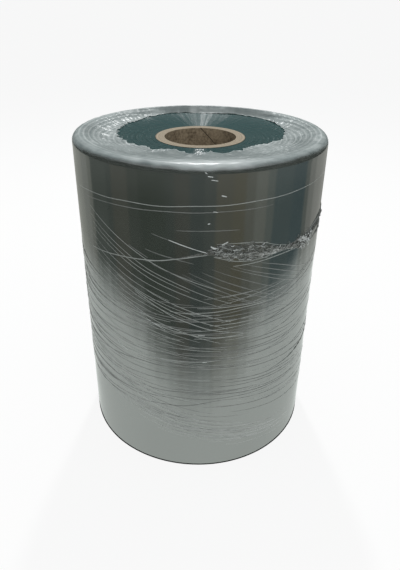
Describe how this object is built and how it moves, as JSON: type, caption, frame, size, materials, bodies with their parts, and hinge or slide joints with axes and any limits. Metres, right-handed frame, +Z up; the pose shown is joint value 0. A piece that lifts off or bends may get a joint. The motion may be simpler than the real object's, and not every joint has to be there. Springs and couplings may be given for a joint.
{
  "type": "roll of clear film",
  "caption": "Roll of clear shrink film wound on a paperboard core and protected by a hand-applied stretch wrap, standing on its end.",
  "frame": {"origin": "on the winding axis, at the surface that the roll stands on", "axes": "+Z up along the winding axis and the bore of the core, +X to the right and -Y to the front as the roll is seen in the picture"},
  "size_m": [0.2716, 0.272, 0.3596],
  "materials": {
    "paperboard": "matt spirally wound kraft paperboard",
    "film": "glossy, clear film whose many turns look dark blue-green",
    "wrap": "glossy, clear stretch film, hazy where it is folded and creased"
  },
  "bodies": {
    "root": {"core": "paperboard", "film_roll": "film", "stretch_wrap": "wrap"}
  },
  "joints": []
}
